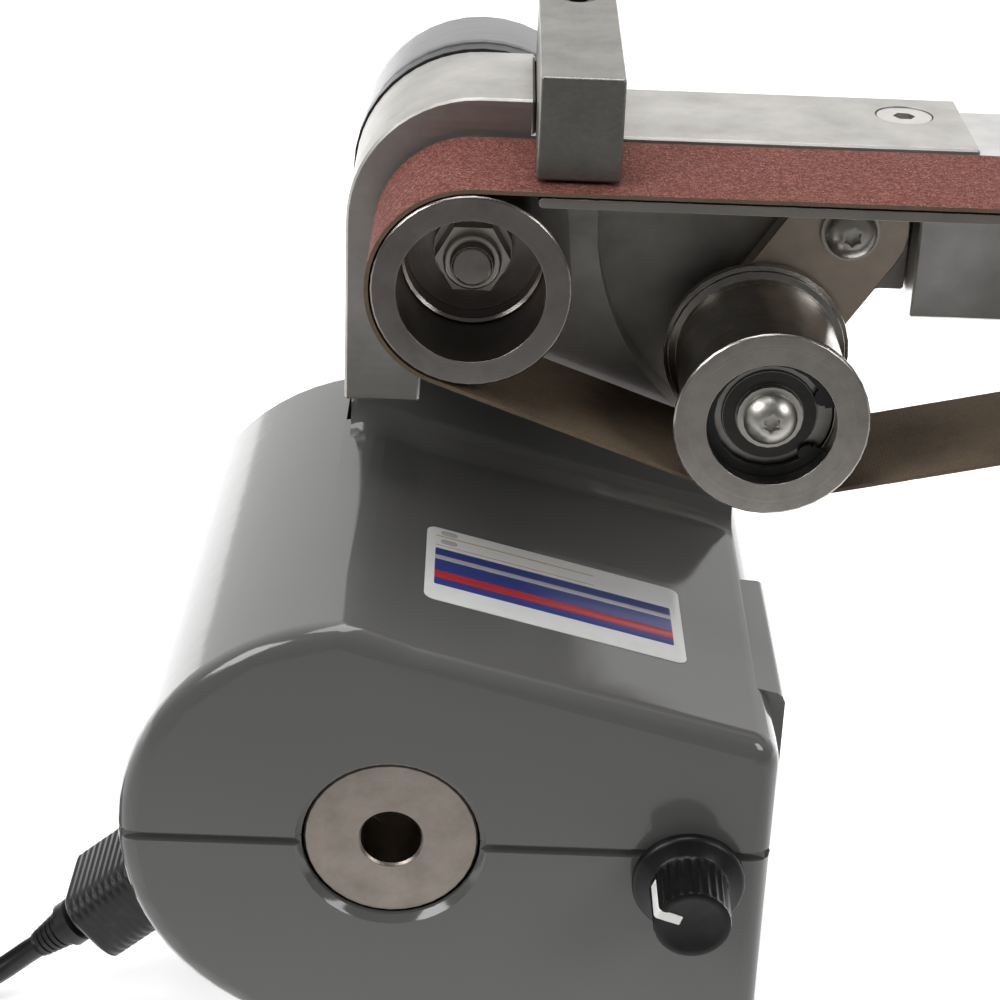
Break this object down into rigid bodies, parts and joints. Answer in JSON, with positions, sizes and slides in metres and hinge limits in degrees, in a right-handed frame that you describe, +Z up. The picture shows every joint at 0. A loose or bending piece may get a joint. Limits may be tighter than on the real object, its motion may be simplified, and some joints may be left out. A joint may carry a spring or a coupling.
{
  "type": "belt grinder",
  "caption": "Small bench belt grinder: motor housing on rubber feet, drive roller, sprung flanged idler, end roller, platen, work rest, speed knob and mains lead.",
  "frame": {"origin": "middle of the bottom of the bounding box, measured without the cord, its connector, coil and plug, on the surface the feet stand on", "axes": "+X along the arm towards the end roller, +Y from the front to the rear, +Z up"},
  "size_m": [0.4197, 0.1404, 0.2219],
  "materials": {
    "aluminium": "machined, satin",
    "turned_steel": "turned, bright",
    "dark_steel": "black oxide",
    "zinc_plate": "zinc plated",
    "bead_blasted_steel": "bead blasted",
    "black_paint": "satin",
    "grey_paint": "satin",
    "grey_plastic": "gloss",
    "black_plastic": "satin",
    "black_rubber": "matt",
    "abrasive_cloth": "grit on cloth",
    "bronze": "sintered",
    "circuit_board": "lacquered"
  },
  "bodies": {
    "base": {"frame": "aluminium", "extension_bar": "aluminium", "end_axle": "turned_steel", "platen": "turned_steel", "work_rest": "turned_steel", "frame_screw_left": "dark_steel", "frame_screw_right": "dark_steel", "platen_screw_left": "dark_steel", "platen_screw_right": "dark_steel", "rest_screw": "dark_steel", "cover_screw_top_left": "dark_steel", "cover_screw_top_right": "dark_steel", "cover_screw_low": "dark_steel", "motor_body": "dark_steel", "front_bearing": "zinc_plate", "rear_bearing": "zinc_plate", "bar_screw": "zinc_plate", "lever_screw": "zinc_plate", "tension_spring": "zinc_plate", "end_screw": "zinc_plate", "spindle_bearing": "zinc_plate", "shell_screw_front_left": "zinc_plate", "shell_screw_front_right": "zinc_plate", "shell_screw_rear_left": "zinc_plate", "shell_screw_rear_right": "zinc_plate", "pot_nut": "zinc_plate", "back_plate": "black_paint", "drive_cover": "grey_paint", "upper_shell": "grey_plastic", "lower_shell": "grey_plastic", "speed_pot": "black_plastic", "mains_inlet": "black_plastic", "cord_connector": "black_plastic", "mains_plug": "black_plastic", "drive_belt": "black_rubber", "foot_front_left": "black_rubber", "foot_front_right": "black_rubber", "foot_rear_left": "black_rubber", "foot_rear_right": "black_rubber", "mains_cord": "black_rubber", "cord_tail": "black_rubber", "cord_coil": "black_rubber", "abrasive_belt": "abrasive_cloth", "control_board": "circuit_board"},
    "motor_rotor": {"motor_spindle": "turned_steel", "motor_pulley": "aluminium"},
    "drive_shaft": {"roller_shaft": "turned_steel", "drive_roller": "turned_steel", "roller_nut": "zinc_plate", "roller_pulley": "aluminium"},
    "end_wheel": {"end_roller": "turned_steel", "end_bush": "bronze"},
    "tension_arm": {"tension_lever": "bead_blasted_steel", "spool_axle": "turned_steel", "spool_screw": "zinc_plate"},
    "idler": {"spool": "turned_steel", "spool_bearing": "zinc_plate", "spool_circlip": "dark_steel"},
    "knob": {"speed_knob": "black_plastic"}
  },
  "joints": [
    {"name": "motor_spin", "type": "hinge", "parent": "base", "child": "motor_rotor", "pos_m": [-0.0914, -0.00377, 0.0763], "axis": [0, -1, 0], "continuous": true},
    {"name": "roller_spin", "type": "hinge", "parent": "base", "child": "drive_shaft", "pos_m": [-0.0794, -0.00377, 0.1811], "axis": [0, -1, 0], "continuous": true},
    {"name": "end_roller_spin", "type": "hinge", "parent": "base", "child": "end_wheel", "pos_m": [0.1316, -0.00777, 0.1875], "axis": [0, -1, 0], "continuous": true},
    {"name": "tension_lever_swing", "type": "hinge", "parent": "base", "child": "tension_arm", "pos_m": [-0.0037, 0.01523, 0.1831], "axis": [0, 1, 0], "range_deg": [0, 24], "stiffness_Nm_per_rad": 0.8, "springref_deg": -28.65},
    {"name": "idler_spin", "type": "hinge", "parent": "tension_arm", "child": "idler", "pos_m": [-0.0208, -0.00777, 0.1569], "axis": [0, -1, 0], "continuous": true},
    {"name": "speed_knob_turn", "type": "hinge", "parent": "base", "child": "knob", "pos_m": [-0.0327, -0.06277, 0.0716], "axis": [0, -1, 0], "range_deg": [-200, 80]}
  ],
  "couplings": [
    {"joint": "roller_spin", "follows": "motor_spin", "ratio": 1.3333},
    {"joint": "end_roller_spin", "follows": "motor_spin", "ratio": 1.9897},
    {"joint": "idler_spin", "follows": "motor_spin", "ratio": 1.5306}
  ]
}
